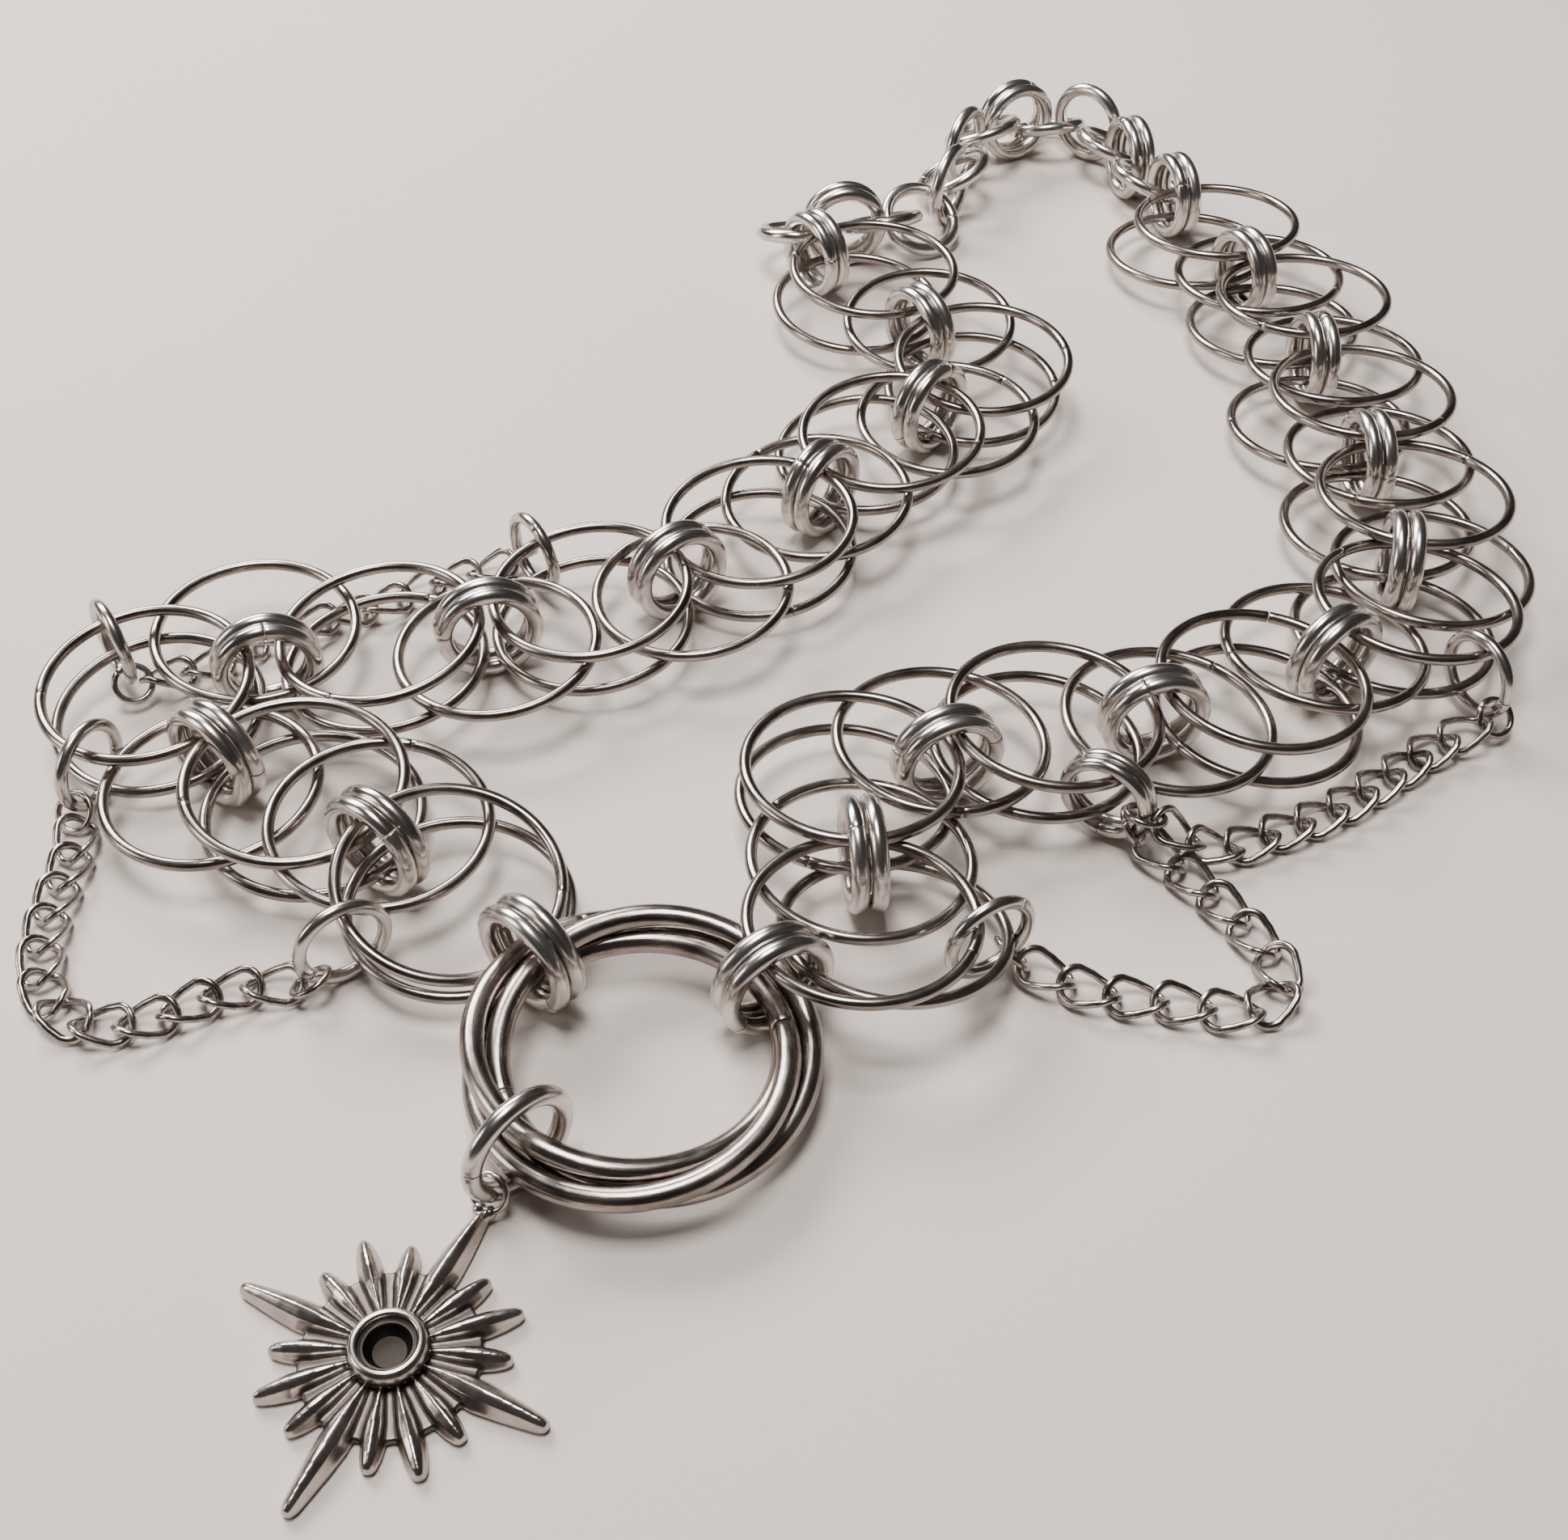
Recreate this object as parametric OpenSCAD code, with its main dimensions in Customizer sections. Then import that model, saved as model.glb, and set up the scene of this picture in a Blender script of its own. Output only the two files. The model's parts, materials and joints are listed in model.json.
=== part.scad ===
// A chainmail choker of plain steel rings, laid out on a flat surface.
// Two strands of paired large rings leave a centre of three interlaced thick rings.
// Links of two thick small rings join the pairs, and each link sits inside one loose large ring.
// A cast star hangs from the centre, four fine chains swag below, and a hooked ring closes the back.

/* [Large rings] */
// Outer diameter of a large ring
large_od = 20; // [19.6:0.1:20.2]
// Wire of a large ring
large_wire = 1.1; // [0.9:0.05:1.1]

/* [Small rings] */
// Outer diameter of a small ring
small_od = 10.4; // [10.2:0.1:10.5]
// Wire of a small ring
small_wire = 1.6; // [1.4:0.1:1.6]
// Clear gap between the two rings of a link
link_gap = 0.1; // [0.1:0.05:0.2]

/* [Centre rings] */
// Diameter of the circle that the three thick rings wind about
centre_mid = 24.6; // [24.4:0.1:24.8]
// Wire of a thick centre ring
centre_wire = 2; // [1.9:0.05:2.05]
// How far each thick ring runs off centre
centre_wind = 1.3; // [1.25:0.05:1.35]
// Height of the middle of the thick rings
centre_height = 4.2; // [4.1:0.1:4.4]
// Slope of the thick rings
centre_slope = 3.7; // [3:0.1:4]

/* [Swags] */
// Outer diameter of a swag ring
swag_od = 8.8; // [8.6:0.1:9]
// Wire of a swag ring
swag_wire = 1.2; // [1:0.1:1.2]
// Thickness of the fine chain
chain_thick = 1.4; // [1.2:0.1:1.5]
// Outer diameter of the eye that ends a fine chain
eye_od = 4; // [3.9:0.1:4.2]
// Wire of the eye that ends a fine chain
eye_wire = 0.7; // [0.6:0.1:0.8]

/* [Star] */
// Length of a long ray from the star's middle
ray_long = 13; // [12:0.5:13]
// Length of the ray halfway between two long rays
ray_mid = 9.8; // [9:0.1:10]
// Length of the short rays
ray_short = 8.8; // [8:0.1:9]
// Thickness of the star at its edge
star_edge = 0.8; // [0.6:0.1:1]
// Height of the ridge along a ray
star_ridge = 1.9; // [1.6:0.1:2]
// Outer diameter of the round bezel
bezel_od = 6.2; // [6:0.1:6.4]
// Height of the bezel's rim
bezel_height = 2.7; // [2.4:0.1:2.8]
// Width of the bezel's rim round its hollow
bezel_rim = 1; // [0.9:0.05:1.1]
// Outer diameter of the star's hanging ring
bail_od = 3.5; // [3.4:0.1:3.6]
// Wire of the star's hanging ring
bail_wire = 0.55; // [0.5:0.05:0.6]
// How steeply the hanging ring rises from its ray, to close round the pendant ring
bail_tilt = 57; // [55:1:60]
// Diameter of the two beads that join the hanging ring to its ray
bead_d = 1.2; // [1.1:0.05:1.3]
// How far the two beads sit apart
bead_gap = 0.84; // [0.8:0.02:0.9]

/* [Hidden] */
// Brings the middle of the footprint to the origin
home = [0.2, 1.8, 0];

// Three interlaced circles: radius, and the slope that keeps them evenly apart
centre_r = centre_mid / 2;
centre_tilt = asin(centre_wind / centre_r);
centre_at = [-14.4, -64, centre_height];
slope_way = 127;

// Large ring pairs from the centre to the clasp, one row a pair.
// x, y and z of the upper ring, its rise along the strand in degrees,
// then how far the lower ring lies to its side in x, y, its z and its rise.
left_pairs = [
    // x, y, z, rise, side x, side y, low z, low rise
    [-31.1, -47.5, 5.6, 14.6, 0.6, -0.6, 3.1, 4.2],
    [-45.7, -37.1, 7.25, 4.3, 1, 0, 3.1, 4.3],
    [-61.8, -24.2, 6.95, 4.8, 0.5, 0, 3.2, 6.5],
    [-41.2, -17.2, 7.1, 4.3, 0, 0, 3.3, 3.4],
    [-21.7, -11.3, 7.3, 4.2, 0, 0, 3.1, 4.3],
    [-5.5, -0.2, 7.2, 4.3, 0, 0, 3, 4.3],
    [8.4, 15.2, 7.2, 4.3, -2.5, 1.5, 3.25, 4.3],
    [19.2, 29.4, 7, 4.3, -1, 0, 3, 4.8],
    [7.6, 47.6, 7.5, 3.2, -2, -1, 3.5, 4.3],
];
right_pairs = [
    // x, y, z, rise, side x, side y, low z, low rise
    [3.4, -53.1, 7.4, -4.9, 2.8, 1.4, 4.35, -12.5],
    [3, -35.5, 7.5, -3.4, -0.5, 0, 3.6, -5.6],
    [21.4, -28.9, 7.4, -3.8, -1.3, 0, 3.6, -3.4],
    [41.1, -24.1, 7.3, -3.6, 0, 0, 3, -4.3],
    [57.9, -12.6, 7.2, -4.5, -1.5, 0, 3, -4],
    [61.4, 4.1, 7.4, -4.3, -3, 0, 3.25, -4.3],
    [59.9, 22.4, 7.3, -4.3, -4, 0, 3.15, -4.3],
    [57.3, 42.4, 7.1, -4.3, -3, 0, 3.05, -4.3],
    [49.9, 59.4, 7, -4.3, -3, 0, 3.05, -4.3],
];

// Loose large rings, one round each link between two pairs.
left_loose = [
    // x, y, z, rise, way of the rise
    [-38.1, -40.4, 5.3, 5.3, 145],
    [-53.9, -35.2, 4.7, 1.6, 60],
    [-53.7, -14.9, 5.25, 3.7, 129],
    [-30.3, -17.2, 5.25, 3.7, 17],
    [-12, -8.6, 5.1, 3.8, 34],
    [0.4, 6.6, 5.05, 4.3, 51],
    [14.8, 20.6, 5.05, 3, 90],
    [13.8, 39.8, 5.2, 5, 90],
];
right_loose = [
    // x, y, z, rise, way of the rise
    [3.6, -44.6, 5.35, 4.5, 222],
    [11.2, -30.2, 5.5, 3.9, 213],
    [32.2, -27.2, 5.15, 4.3, 194],
    [48.6, -16.8, 4.9, 4.6, 235],
    [61.4, -5.4, 5.15, 3.4, 261],
    [60.2, 13.5, 5.2, 4.3, 274],
    [59, 31.8, 5.25, 4.3, 277],
    [53.8, 50.4, 5.1, 3.6, 293],
];
// How far each link between two pairs sits to the left of the strand's middle line
left_sides = [0, 1.2, 1.2, 0, 0, 0, 0, 0];
right_sides = [0, 0.3, 0, 0, 0, 0, 0, 0];

// Links that meet something else than two pairs: x, y and way of their plane.
left_start = [-23.6, -54.9, 137];
left_end = [0.9, 55.2, 125];
right_start = [-3.9, -57.6, 31];
right_end = [46.3, 69.3, 106];

// Rings that stand on edge and carry the fine chains.
left_hangers = [
    // x, y, lift, lean, way, count
    [-28.1, -2.7, 0.6, 0, 126, 1],
    [-67, -16.6, 0.9, 0, 125, 1],
    [-65.5, -32.4, 0, 0, 248, 1],
    [-39.4, -53.1, 0, 0, 214, 1],
];
right_hangers = [
    // x, y, lift, lean, way, count
    [13.9, -53.3, 0.85, 0, 30, 1],
    [25.6, -36.5, 0.5, 0, -32, 2],
    [62.2, -20.9, 0.7, 0, -63, 1],
];

// Small rings of the two end chains.
left_tail = [
    // x, y, lift, lean, way, count
    [-1.2, 60.3, 2.6, 68, 180, 1],
    [4.45, 62.1, 0, 0, 10, 2],
    [9.2, 63.8, 1.6, 62, 200, 1],
    [14.2, 66.6, 0.3, 60, 30, 1],
];
right_tail = [
    // x, y, lift, lean, way, count
    [43.8, 74.1, 1.8, 65, 115, 1],
    [42, 79.1, 0, 0, 105, 2],
    [40.5, 84.3, 1.2, 65, 115, 1],
    [37.6, 88.7, 0, 0, 140, 1],
    [32.5, 91.1, 0.6, 65, 195, 1],
    [27.9, 89.4, 0, 0, 207, 2],
    [23.4, 86.8, 2.2, 65, 225, 1],
    [20.7, 82, 0, 0, 240, 1],
    [18.9, 76.9, 1.2, 62, 255, 1],
];
// The open hook that closes the neck, and how much of its circle is open
hook = [18.2, 71.6, 0, 0, 62, 1];
hook_gap = 60;
hook_start = 80;

// Fine chains from hanger to hanger: the height of their middle, how far an eye hangs out from
// one wire, how far the chain bites into an eye, and the way points on the surface.
swag_low = 0.75;
eye_slack = 0.6;
eye_bite = 0.2;
swag_1 = [
    // x, y
    [-34, -0.9],
    [-39, -2.8],
    [-44, -6.5],
    [-49, -8.4],
    [-54, -11],
    [-58, -15],
];
swag_2 = [
    // x, y
    [-65.7, -40.2],
    [-66, -47],
    [-65, -54],
    [-61.5, -58.6],
    [-55.5, -58.8],
    [-49, -55.5],
];
swag_3 = [
    // x, y
    [32.5, -43],
    [36.6, -49.1],
    [38.6, -54],
    [35.8, -57.8],
    [29, -56.8],
    [22.4, -55.6],
];
swag_4 = [
    // x, y
    [57.3, -26.9],
    [51.8, -31.2],
    [45.9, -35.3],
    [40, -38],
    [35.4, -39.8],
];

// The star's middle, the way its hanging ray points, and the ring that holds it.
star_at = [-31, -88.1, 0];
star_way = 65;
pendant_at = [-22.9, -73.4];
pendant_way = 225;

pair_count = len(left_pairs);
small_r = wire_r(small_od, small_wire);
swag_r = wire_r(swag_od, swag_wire);
eye_r = wire_r(eye_od, eye_wire);
facets = 8;
curve_steps = 3;

function unit(v) = v / norm(v);
function way(v) = atan2(v.y, v.x);
function along(a) = [cos(a), sin(a)];
function wire_r(od, wire) = (od - wire) / 2;
function on_floor(lean, od, wire) = wire_r(od, wire) * cos(lean) + wire / 2;

// A place is x, y, z, turn of the ring from level, and way of that turn.
function upper(row) = [row[0], row[1]];
function lower(row) = upper(row) + [row[4], row[5]];
function middle(row) = (upper(row) + lower(row)) / 2;
function heading(rows, ends, k) =
    let (before = k == 0 ? ends[0] : middle(rows[k - 1]))
    let (after = k == len(rows) - 1 ? ends[1] : middle(rows[k + 1]))
    way(after - before);
function pair_places(rows, ends, k) =
    let (r = rows[k], a = heading(rows, ends, k))
    [[r[0], r[1], r[2], -r[3], a], [lower(r).x, lower(r).y, r[6], -r[7], a]];

// A link from its x, y and way: two upright rings side by side.
function link_row(rows, shift, k) =
    let (a = way(middle(rows[k + 1]) - middle(rows[k])))
    concat((middle(rows[k]) + middle(rows[k + 1])) / 2 + shift[k] * along(a + 90), [a]);
function link_rows(first, rows, shift, last) =
    concat([first], [for (k = [0:len(rows) - 2]) link_row(rows, shift, k)], [last]);
function upright(x, y, z, lean, a, side) =
    [x + side * cos(lean) * sin(a), y - side * cos(lean) * cos(a), z + side * sin(lean),
        90 - lean, a - 90];
function sides(count, wire) =
    count == 1 ? [0] : [-(wire + link_gap) / 2, (wire + link_gap) / 2];
function link_places(row) =
    [for (s = sides(2, small_wire)) upright(row[0], row[1], small_od / 2, 0, row[2], s)];
function loose_places(rows) =
    [for (r = rows) [r[0], r[1], r[2], -r[3], r[4]]];
function standing_places(rows, od, wire) =
    [for (r = rows) for (s = sides(r[5], wire))
        upright(r[0], r[1], on_floor(r[3], od, wire) + r[2], r[3], r[4], s)];
function hanger_places(rows) = standing_places(rows, swag_od, swag_wire);
function tail_places(rows) = standing_places(rows, small_od, small_wire);

left_links = link_rows(left_start, left_pairs, left_sides, left_end);
right_links = link_rows(right_start, right_pairs, right_sides, right_end);
left_ends = [upper(left_start), upper(left_end)];
right_ends = [upper(right_start), upper(right_end)];

// A round-wire ring in its place
module ring(place, od, wire) {
    translate([place[0], place[1], place[2]])
        rotate([0, place[3], place[4]])
            rotate_extrude($fn = 64)
                translate([(od - wire) / 2, 0])
                    circle(d = wire, $fn = 20);
}

module large_rings(places) {
    color("dimgray")
        translate(home)
            for (place = places)
                ring(place, large_od, large_wire);
}

module small_rings(places) {
    color("silver")
        translate(home)
            for (place = places)
                ring(place, small_od, small_wire);
}

module swag_rings(rows) {
    color("silver")
        translate(home)
            for (place = hanger_places(rows))
                ring(place, swag_od, swag_wire);
}

// One of three thick rings that wind evenly about one circle
module centre_ring(k) {
    color("gray")
        translate(home + centre_at)
            rotate([0, -centre_slope, slope_way])
                rotate([0, 0, 120 * k])
                    translate([centre_wind, 0, 0])
                        rotate([centre_tilt, 0, 0])
                            ring([0, 0, 0, 0, 0], 2 * centre_r + centre_wire, centre_wire);
}

// A smooth curve through way points
function between(a, b, c, d, t) =
    0.5 * (2 * b + (c - a) * t + (2 * a - 5 * b + 4 * c - d) * t * t
        + (3 * b - a - 3 * c + d) * t * t * t);
function curve(pts, steps) =
    let (n = len(pts))
    [for (i = [0:n - 2]) for (s = [0:steps - (i == n - 2 ? 0 : 1)])
        between(pts[max(i - 1, 0)], pts[i], pts[i + 1], pts[min(i + 2, n - 1)], s / steps)];

// A round tube along a level curve
module tube(pts, d) {
    n = len(pts);
    rings = [for (i = [0:n - 1])
        let (t = unit(pts[min(i + 1, n - 1)] - pts[max(i - 1, 0)]))
        for (j = [0:facets - 1])
            let (a = 360 * j / facets)
            pts[i] + d / 2 * (cos(a) * [-t.y, t.x, 0] + sin(a) * [0, 0, 1])];
    walls = [for (i = [0:n - 2]) for (j = [0:facets - 1])
        [i * facets + j, (i + 1) * facets + j,
            (i + 1) * facets + (j + 1) % facets, i * facets + (j + 1) % facets]];
    near_end = [for (j = [0:facets - 1]) j];
    far_end = [for (j = [facets - 1:-1:0]) (n - 1) * facets + j];
    polyhedron(rings, concat(walls, [near_end, far_end]), convexity = 8);
}

// An eye goes round the wire of its hanger, square to it, this far round from its lowest point
function out_from(row, round) = [sin(round) * cos(row[4]), sin(round) * sin(row[4]), -cos(round)];
function eye_at(row, round) =
    [row[0], row[1], on_floor(row[3], swag_od, swag_wire) + row[2]]
        + (swag_r + (row[5] == 1 ? eye_slack : 0)) * out_from(row, round);
function eye_exit(row, round, goal) =
    let (at = eye_at(row, round), u = out_from(row, round), v = [-sin(row[4]), cos(row[4]), 0])
    let (d = [goal.x - at.x, goal.y - at.y, 0])
    at + (eye_r - eye_bite) * unit((d * u) * u + (d * v) * v);
function swag_points(start, start_round, route, finish, finish_round) =
    let (ends = [eye_exit(start, start_round, route[0]),
        eye_exit(finish, finish_round, route[len(route) - 1])])
    let (all = concat([ends[0]], [for (p = route) [p.x, p.y, swag_low]], [ends[1]]))
    [for (p = curve(all, curve_steps)) [p.x, p.y, max(p.z, swag_low)]];

module eye(row, round) {
    at = eye_at(row, round);
    ring([at.x, at.y, at.z, 90 - round, row[4]], eye_od, eye_wire);
}

module swag_chain(start, start_round, route, finish, finish_round) {
    color("lightgray")
        translate(home) {
            eye(start, start_round);
            eye(finish, finish_round);
            tube(swag_points(start, start_round, route, finish, finish_round), chain_thick);
        }
}

module clasp_hook() {
    place = tail_places([hook])[0];
    color("silver")
        translate(home + [place[0], place[1], place[2]])
            rotate([0, place[3], place[4]])
                rotate([0, 0, hook_start])
                    rotate_extrude(angle = 360 - hook_gap, $fn = 64)
                        translate([small_r, 0])
                            circle(d = small_wire, $fn = 20);
}

// Star outline: every ray has these way points, its share of length and of half width
ray_shape = [
    // along, across
    [0.6, -1],
    [0.82, -0.8],
    [0.95, -0.42],
    [1, 0],
    [0.95, 0.42],
    [0.82, 0.8],
    [0.6, 1],
];
rays = 16;
ray_half = 1.35;
short_share = 0.76;
web_r = 6.6;
valley_share = 0.15;
bead_sink = 0.1;
hub_r = bezel_od / 2;
function ray_length(k) = k % 4 == 0 ? ray_long : k % 4 == 2 ? ray_mid : ray_short;
function ray_wide(k) = k % 4 == 0 ? ray_half : ray_half * short_share;
function outline_of(k) =
    concat([for (p = ray_shape)
            let (u = p[0] * ray_length(k), v = p[1] * ray_wide(k))
            [norm([u, v]), atan2(v, u) + 360 * k / rays, 1 - abs(p[1])]],
        [[web_r, 360 * (k + 0.5) / rays, 0]]);
star_outline = [for (k = [0:rays - 1]) each outline_of(k)];
star_steps = [
    // share of the way out, share of the ridge
    [0.42, 0.6],
    [0.6, 0.9],
    [0.8, 1],
    [0.93, 0.7],
    [1, 0],
];
module star_body() {
    n = len(star_outline);
    m = len(star_steps);
    top = [for (s = star_steps) for (p = star_outline)
        [s[0] * p[0] * cos(p[1]), s[0] * p[0] * sin(p[1]),
            star_edge + (star_ridge - star_edge) * s[1] * (valley_share + (1 - valley_share) * p[2])]];
    bottom = [for (p = star_outline) [p[0] * cos(p[1]), p[0] * sin(p[1]), 0]];
    hub = n * (m + 1);
    points = concat(top, bottom, [[0, 0, star_edge], [0, 0, 0]]);
    skin = [for (i = [0:m - 2]) for (j = [0:n - 1])
        [i * n + j, i * n + (j + 1) % n, (i + 1) * n + (j + 1) % n, (i + 1) * n + j]];
    middle_fan = [for (j = [0:n - 1]) [hub, (j + 1) % n, j]];
    rim = [for (j = [0:n - 1])
        [(m - 1) * n + j, (m - 1) * n + (j + 1) % n, m * n + (j + 1) % n, m * n + j]];
    base_fan = [for (j = [0:n - 1]) [hub + 1, m * n + j, m * n + (j + 1) % n]];
    polyhedron(points, concat(skin, middle_fan, rim, base_fan), convexity = 10);
}
module star_pendant() {
    bail_r = (bail_od - bail_wire) / 2;
    color("silver")
        translate(home + star_at)
            rotate([0, 0, star_way]) {
                difference() {
                    union() {
                        star_body();
                        cylinder(r = hub_r, h = bezel_height, $fn = 48);
                    }
                    translate([0, 0, bezel_height])
                        sphere(d = bezel_od - 2 * bezel_rim, $fn = 48);
                }
                translate([ray_long, 0, star_edge])
                    rotate([0, -bail_tilt, 0])
                        translate([bail_r, 0, 0])
                            rotate_extrude($fn = 32)
                                translate([bail_r, 0])
                                    circle(d = bail_wire, $fn = 16);
                for (side = [-1, 1])
                    translate([ray_long - bead_sink, side * bead_gap / 2, star_edge])
                        sphere(d = bead_d, $fn = 24);
            }
}

for (k = [0:pair_count - 1]) {
    large_rings(pair_places(left_pairs, left_ends, k));
    large_rings(pair_places(right_pairs, right_ends, k));
}
for (k = [0:pair_count]) {
    small_rings(link_places(left_links[k]));
    small_rings(link_places(right_links[k]));
}
for (k = [1:3])
    centre_ring(k - 1);
large_rings(loose_places(left_loose));  // left_loose_rings
large_rings(loose_places(right_loose));  // right_loose_rings
swag_rings(left_hangers);  // left_swag_rings
swag_rings(right_hangers);  // right_swag_rings
small_rings(tail_places(left_tail));  // left_end_chain
small_rings(tail_places(right_tail));  // right_end_chain
clasp_hook();
small_rings([upright(pendant_at.x, pendant_at.y, small_od / 2, 0, pendant_way, 0)]);  // pendant_ring
star_pendant();
swag_chain(left_hangers[0], 50, swag_1, left_hangers[1], -50);  // swag_chain_1
swag_chain(left_hangers[2], 50, swag_2, left_hangers[3], 50);  // swag_chain_2
swag_chain(right_hangers[1], 48, swag_3, right_hangers[0], 36);  // swag_chain_3
swag_chain(right_hangers[2], 50, swag_4, right_hangers[1], 80);  // swag_chain_4
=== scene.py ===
import json
from math import cos, pi, radians, sin

import bpy
import numpy as np
from mathutils import Matrix, Vector

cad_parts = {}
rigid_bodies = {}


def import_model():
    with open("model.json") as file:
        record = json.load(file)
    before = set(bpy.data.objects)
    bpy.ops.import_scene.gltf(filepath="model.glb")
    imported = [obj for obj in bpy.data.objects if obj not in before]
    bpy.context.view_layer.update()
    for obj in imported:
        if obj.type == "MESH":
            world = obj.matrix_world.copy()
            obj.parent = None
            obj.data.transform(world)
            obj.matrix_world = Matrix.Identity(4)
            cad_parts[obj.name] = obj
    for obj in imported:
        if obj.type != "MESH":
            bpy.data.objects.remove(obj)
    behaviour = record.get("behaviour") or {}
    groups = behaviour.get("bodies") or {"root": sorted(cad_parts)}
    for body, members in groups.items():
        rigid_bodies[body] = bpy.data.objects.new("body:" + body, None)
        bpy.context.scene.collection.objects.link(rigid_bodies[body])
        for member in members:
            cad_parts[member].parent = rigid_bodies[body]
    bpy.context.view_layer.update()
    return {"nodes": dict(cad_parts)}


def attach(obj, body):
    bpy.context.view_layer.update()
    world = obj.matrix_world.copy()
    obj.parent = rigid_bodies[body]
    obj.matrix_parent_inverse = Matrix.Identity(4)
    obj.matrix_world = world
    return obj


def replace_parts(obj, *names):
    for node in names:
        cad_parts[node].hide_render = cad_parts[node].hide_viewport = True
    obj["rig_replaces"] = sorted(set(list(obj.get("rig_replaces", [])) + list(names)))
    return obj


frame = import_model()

mm = 0.001
home = Vector((0.2, 1.8, 0))  # from the choker's own places to the frame's, in mm
print("frame:", len(frame["nodes"]), "nodes")


# Modelling helpers

def activate(*pieces):
    bpy.ops.object.select_all(action="DESELECT")
    for piece in pieces:
        piece.select_set(True)
    bpy.context.view_layer.objects.active = pieces[0]


def editOnly(piece, wanted, kind="FACE"):
    # Opens the piece in edit mode with only the wanted faces or vertices selected
    if bpy.context.mode != "OBJECT":
        bpy.ops.object.mode_set(mode="OBJECT")
    activate(piece)
    bpy.ops.object.mode_set(mode="EDIT")
    bpy.ops.mesh.select_mode(type=kind)
    bpy.ops.mesh.select_all(action="DESELECT")
    bpy.ops.object.mode_set(mode="OBJECT")
    for part in piece.data.polygons if kind == "FACE" else piece.data.vertices:
        part.select = wanted(part)
    bpy.ops.object.mode_set(mode="EDIT")


def editAll(piece):
    editOnly(piece, lambda part: True)


def leaveEdit():
    bpy.ops.object.mode_set(mode="OBJECT")


def applyModifier(piece, kind, **settings):
    activate(piece)
    modifier = piece.modifiers.new(kind.lower(), kind)
    for name, value in settings.items():
        setattr(modifier, name, value)
    bpy.ops.object.modifier_apply(modifier=modifier.name)


def vertexPlaces(mesh):
    places = np.empty(len(mesh.vertices) * 3, np.float32)
    mesh.vertices.foreach_get("co", places)
    return places.reshape(-1, 3).astype(float)


def copyTo(master, name, place):
    # A copy with its own mesh, put in its place in the mesh itself
    mesh = master.data.copy()
    mesh.transform(place)
    piece = bpy.data.objects.new(name, mesh)
    bpy.context.scene.collection.objects.link(piece)
    return piece


def finishPiece(parts, name, node, material):
    if len(parts) > 1:
        activate(*parts)
        bpy.ops.object.join()
    piece = parts[0]
    piece.name = piece.data.name = name
    piece.data.materials.clear()
    piece.data.materials.append(material)
    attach(piece, "root")
    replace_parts(piece, node)
    return piece


# Shader maths: a socket that adds its own nodes

class Socket:
    def __init__(self, tree, out):
        self.tree = tree
        self.out = out

    def make(self, kind, settings, values, out=0):
        node = self.tree.nodes.new(kind)
        for name, value in settings.items():
            if name == "stops":
                while len(node.color_ramp.elements) < len(value):
                    node.color_ramp.elements.new(1)
                for element, (position, colour) in zip(node.color_ramp.elements, value):
                    element.position, element.color = position, colour
            else:
                setattr(node, name, value)
        for name, value in values.items():
            if isinstance(value, Socket):
                self.tree.links.new(value.out, node.inputs[name])
            else:
                node.inputs[name].default_value = value
        return Socket(self.tree, node.outputs[out])

    def maths(self, operation, first, second):
        return self.make("ShaderNodeMath", {"operation": operation}, {0: first, 1: second})

    def __add__(self, other):
        return self.maths("ADD", self, other)

    def __radd__(self, other):
        return self.maths("ADD", other, self)

    def __sub__(self, other):
        return self.maths("SUBTRACT", self, other)

    def __mul__(self, other):
        return self.maths("MULTIPLY", self, other)

    def stretched(self, x, y, z):
        return self.make("ShaderNodeVectorMath", {"operation": "MULTIPLY"}, {0: self, 1: (x, y, z)})

    def moved(self, by):
        return self.make("ShaderNodeVectorMath", {"operation": "SUBTRACT"}, {0: self, 1: by})

    def noise(self, scale, detail=3, roughness=0.55):
        return self.make("ShaderNodeTexNoise", {},
            {"Vector": self, "Scale": scale, "Detail": detail, "Roughness": roughness})

    def between(self, low, high, start=0, end=1):
        # Goes smoothly from start to end as the value goes from low to high
        return self.make("ShaderNodeMapRange", {"interpolation_type": "SMOOTHSTEP"},
            {"Value": self, "From Min": low, "From Max": high, "To Min": start, "To Max": end})

    def blend(self, first, second):
        return self.make("ShaderNodeMix", {"data_type": "RGBA"}, {0: self, 6: first, 7: second}, 2)


def newMaterial(name):
    material = bpy.data.materials.new(name)
    material.use_nodes = True
    tree = material.node_tree
    shader = tree.nodes["Principled BSDF"]
    return material, shader, Socket(tree, None)


def rgb(red, green, blue):
    return (red, green, blue, 1)


# Camera at the photograph's angle, floor and soft studio light

# place in mm, degrees below level, lens and sensor in mm, nearest thing seen in m
cameraLook = {"at": (-2.8, -155.2, 128.1), "pitch": 44.93, "lens": 44.8, "sensor": 36, "near": 0.005}
# size and drop below the choker in m, clouds and grains to a metre
floorLook = {"size": 4, "drop": 0.00002, "tone": rgb(0.622, 0.556, 0.512), "shade": rgb(0.575, 0.508, 0.465),
    "roughness": 0.85, "specular": 0.25, "cloud": 9, "grain": 2600}
lightLooks = {
    # place and aim in mm, width and height in mm, power in watts, colour
    "window": {"at": (-300, 430, 430), "aim": (0, 0, 0), "size": (420, 260),
        "power": 8.6, "tone": (1, 0.985, 0.965)},
    "ceiling": {"at": (-60, 0, 620), "aim": (0, 0, 0), "size": (260, 200),
        "power": 5, "tone": (1, 0.98, 0.96)},
    "side": {"at": (-520, -120, 240), "aim": (0, -20, 0), "size": (160, 260),
        "power": 1, "tone": (1, 0.97, 0.94)},
}
roomLook = {"tone": rgb(0.9, 0.86, 0.84), "strength": 0.07}

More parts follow.
